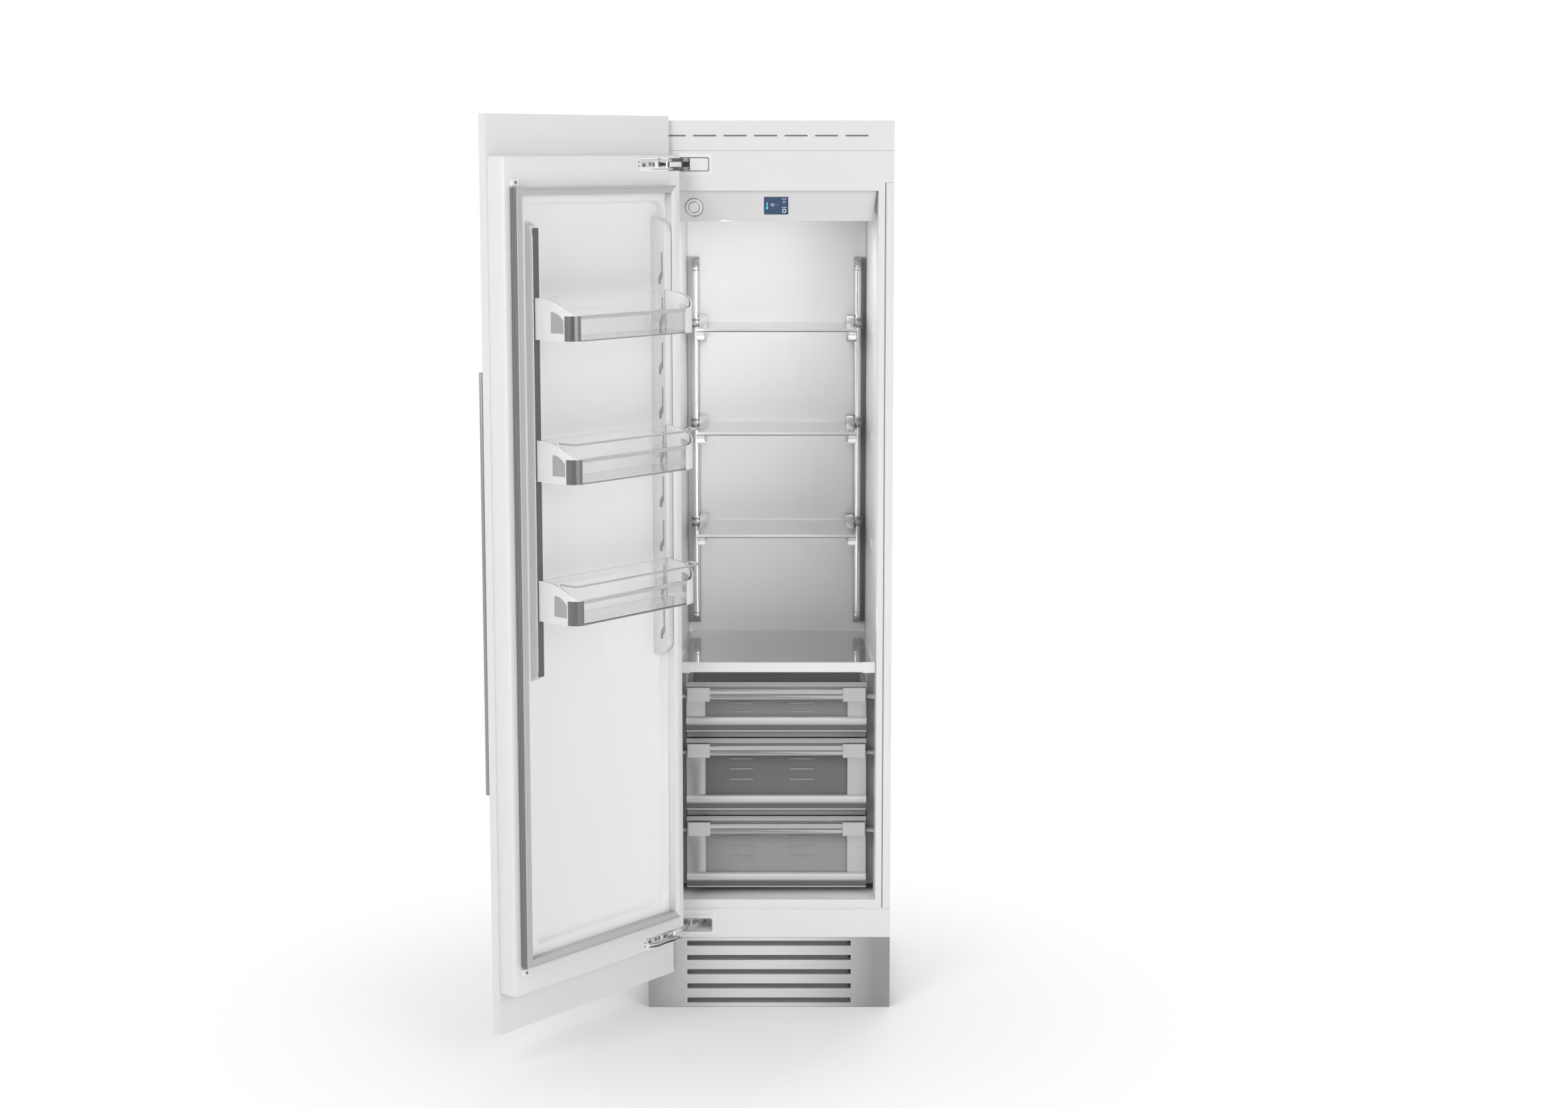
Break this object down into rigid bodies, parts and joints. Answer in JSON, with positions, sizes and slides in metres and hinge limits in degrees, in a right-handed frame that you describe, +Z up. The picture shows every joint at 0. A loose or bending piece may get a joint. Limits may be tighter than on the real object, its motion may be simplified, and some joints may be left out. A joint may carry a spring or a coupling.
{
  "type": "column refrigerator",
  "caption": "Built-in column refrigerator with an open panelled door on concealed link hinges, glass shelves on tubular rails, drawers and door bins",
  "frame": {"origin": "on the floor, under the middle of the part's box with the door open as pictured", "axes": "+Z up, -Y out of the cabinet's front, +X to the right seen from the front"},
  "size_m": [0.9419, 1.0839, 2.185],
  "materials": {
    "white_enamel": "smooth white enamel on sheet steel",
    "white_panel": "white lacquered board",
    "white_plastic": "white vacuum-formed sheet",
    "foam": "rigid insulating foam, hidden",
    "duct_metal": "pale satin metal",
    "brushed_steel": "satin steel",
    "drawer_metal": "satin anodised metal",
    "bright_metal": "bright plated steel",
    "clear_glass": "clear toughened glass",
    "smoked_plastic": "smoked clear plastic",
    "clear_plastic": "clear plastic",
    "display_glass": "dark blue display window",
    "lamp_lens": "opal lens",
    "gasket_rubber": "soft grey gasket",
    "galvanised": "galvanised steel",
    "fin_metal": "thin metal fins on tubes",
    "black_metal": "black painted steel",
    "black_plastic": "black moulded plastic"
  },
  "bodies": {
    "cabinet": {"cabinet_shell": "white_enamel", "foam_insulation": "foam", "inner_liner": "white_plastic", "rear_duct_panel": "duct_metal", "top_fascia": "white_enamel", "lower_fascia": "white_enamel", "front_frame": "white_enamel", "toe_kick_grille": "brushed_steel", "control_header": "white_plastic", "display_panel": "display_glass", "ceiling_light": "lamp_lens", "hinge_box_top": "bright_metal", "hinge_box_bottom": "bright_metal", "levelling_foot_front_left": "galvanised", "levelling_foot_front_right": "galvanised", "levelling_foot_rear_left": "galvanised", "levelling_foot_rear_right": "galvanised", "base_pan": "galvanised", "compressor": "black_metal", "condenser": "fin_metal", "evaporator": "fin_metal", "crisper_glass": "clear_glass", "crisper_trim": "white_plastic", "shelf_rail_left": "bright_metal", "shelf_rail_right": "bright_metal"},
    "condenser_rotor": {"condenser_fan": "black_plastic"},
    "evaporator_rotor": {"evaporator_fan": "black_plastic"},
    "hinge_arms": {"hinge_arm_top": "bright_metal", "hinge_arm_bottom": "bright_metal"},
    "door": {"door_panel": "white_panel", "door_shell": "white_enamel", "door_foam": "foam", "door_liner": "white_plastic", "door_gasket": "gasket_rubber", "door_handle": "brushed_steel", "bin_rail_hinge": "drawer_metal", "bin_rail_free": "drawer_metal", "hinge_cup_top": "bright_metal", "hinge_cup_bottom": "bright_metal"},
    "shelf_1": {"shelf_glass_1": "clear_glass", "shelf_frame_1": "brushed_steel"},
    "drawer_1": {"drawer_bin_1": "smoked_plastic", "drawer_front_1": "drawer_metal", "drawer_handle_1": "drawer_metal"},
    "bin_1": {"bin_frame_1": "brushed_steel", "bin_tray_1": "clear_plastic"},
    "shelf_2": {"shelf_glass_2": "clear_glass", "shelf_frame_2": "brushed_steel"},
    "drawer_2": {"drawer_bin_2": "smoked_plastic", "drawer_front_2": "drawer_metal", "drawer_handle_2": "drawer_metal"},
    "bin_2": {"bin_frame_2": "brushed_steel", "bin_tray_2": "clear_plastic"},
    "shelf_3": {"shelf_glass_3": "clear_glass", "shelf_frame_3": "brushed_steel"},
    "drawer_3": {"drawer_bin_3": "smoked_plastic", "drawer_front_3": "drawer_metal", "drawer_handle_3": "drawer_metal"},
    "bin_3": {"bin_frame_3": "brushed_steel", "bin_tray_3": "clear_plastic"}
  },
  "joints": [
    {"name": "hinge_arm_turn", "type": "hinge", "parent": "cabinet", "child": "hinge_arms", "pos_m": [-0.02151, 0.00904, 0], "axis": [0, 0, 1], "range_deg": [-23, 0]},
    {"name": "door_swing", "type": "hinge", "parent": "hinge_arms", "child": "door", "pos_m": [-0.05965, -0.07309, 0], "axis": [0, 0, -1], "range_deg": [-152.8, 0]},
    {"name": "drawer_1_slide", "type": "slide", "parent": "cabinet", "child": "drawer_1", "axis": [0, -1, 0], "range_m": [0, 0.3]},
    {"name": "drawer_2_slide", "type": "slide", "parent": "cabinet", "child": "drawer_2", "axis": [0, -1, 0], "range_m": [0, 0.3]},
    {"name": "drawer_3_slide", "type": "slide", "parent": "cabinet", "child": "drawer_3", "axis": [0, -1, 0], "range_m": [0, 0.3]},
    {"name": "bin_1_lift", "type": "slide", "parent": "door", "child": "bin_1", "axis": [0, 0, 1], "range_m": [0, 0.03]},
    {"name": "bin_2_lift", "type": "slide", "parent": "door", "child": "bin_2", "axis": [0, 0, 1], "range_m": [0, 0.03]},
    {"name": "bin_3_lift", "type": "slide", "parent": "door", "child": "bin_3", "axis": [0, 0, 1], "range_m": [0, 0.03]},
    {"name": "shelf_1_height", "type": "slide", "parent": "cabinet", "child": "shelf_1", "axis": [0, 0, 1], "range_m": [-0.1, 0.1]},
    {"name": "shelf_2_height", "type": "slide", "parent": "cabinet", "child": "shelf_2", "axis": [0, 0, 1], "range_m": [-0.1, 0.1]},
    {"name": "shelf_3_height", "type": "slide", "parent": "cabinet", "child": "shelf_3", "axis": [0, 0, 1], "range_m": [-0.1, 0.1]},
    {"name": "condenser_fan_spin", "type": "hinge", "parent": "cabinet", "child": "condenser_rotor", "pos_m": [0.28349, 0.34904, 0.11], "axis": [0, -1, 0], "continuous": true},
    {"name": "evaporator_fan_spin", "type": "hinge", "parent": "cabinet", "child": "evaporator_rotor", "pos_m": [0.19179, 0.45104, 1.4557], "axis": [0, -1, 0], "continuous": true}
  ],
  "couplings": [
    {"joint": "hinge_arm_turn", "follows": "door_swing", "ratio": 0.1505}
  ]
}
